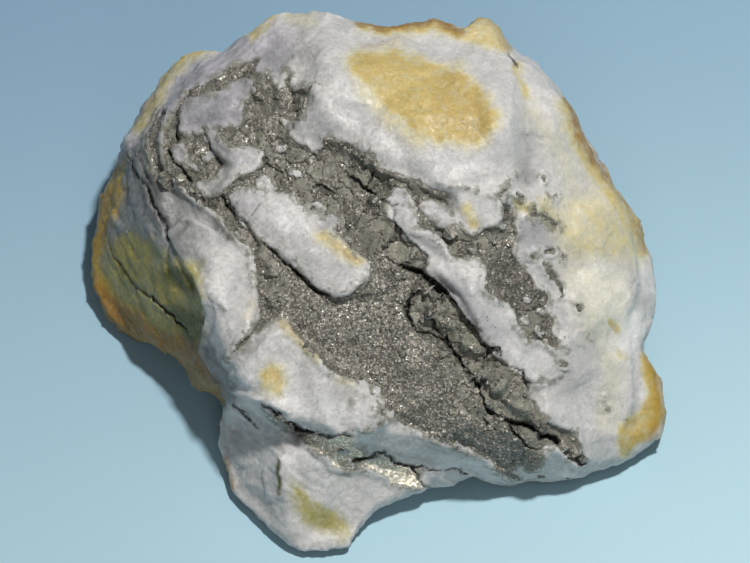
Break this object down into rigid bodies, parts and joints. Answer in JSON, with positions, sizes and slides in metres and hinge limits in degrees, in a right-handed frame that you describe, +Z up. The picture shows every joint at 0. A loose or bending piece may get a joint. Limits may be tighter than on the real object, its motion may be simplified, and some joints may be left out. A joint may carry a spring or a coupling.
{
  "type": "arsenopyrite with quartz specimen",
  "caption": "Broken lump of milky quartz crossed by a seam of granular grey arsenopyrite, lying with its ore face tilted up, for display or as a hand specimen.",
  "frame": {"origin": "middle of the footprint, on the surface the specimen rests on", "axes": "+Z up; the broken face with the ore leans up and towards -Y; +X runs to its right"},
  "size_m": [0.1102, 0.1028, 0.0537],
  "materials": {
    "quartz": "milky sugary quartz, white to lilac grey, with yellow-brown rusty stains",
    "arsenopyrite": "granular metallic ore, steel grey with a faint olive tarnish"
  },
  "bodies": {
    "root": {"quartz_matrix": "quartz", "arsenopyrite_seam": "arsenopyrite", "arsenopyrite_lower_seam": "arsenopyrite"}
  },
  "joints": []
}
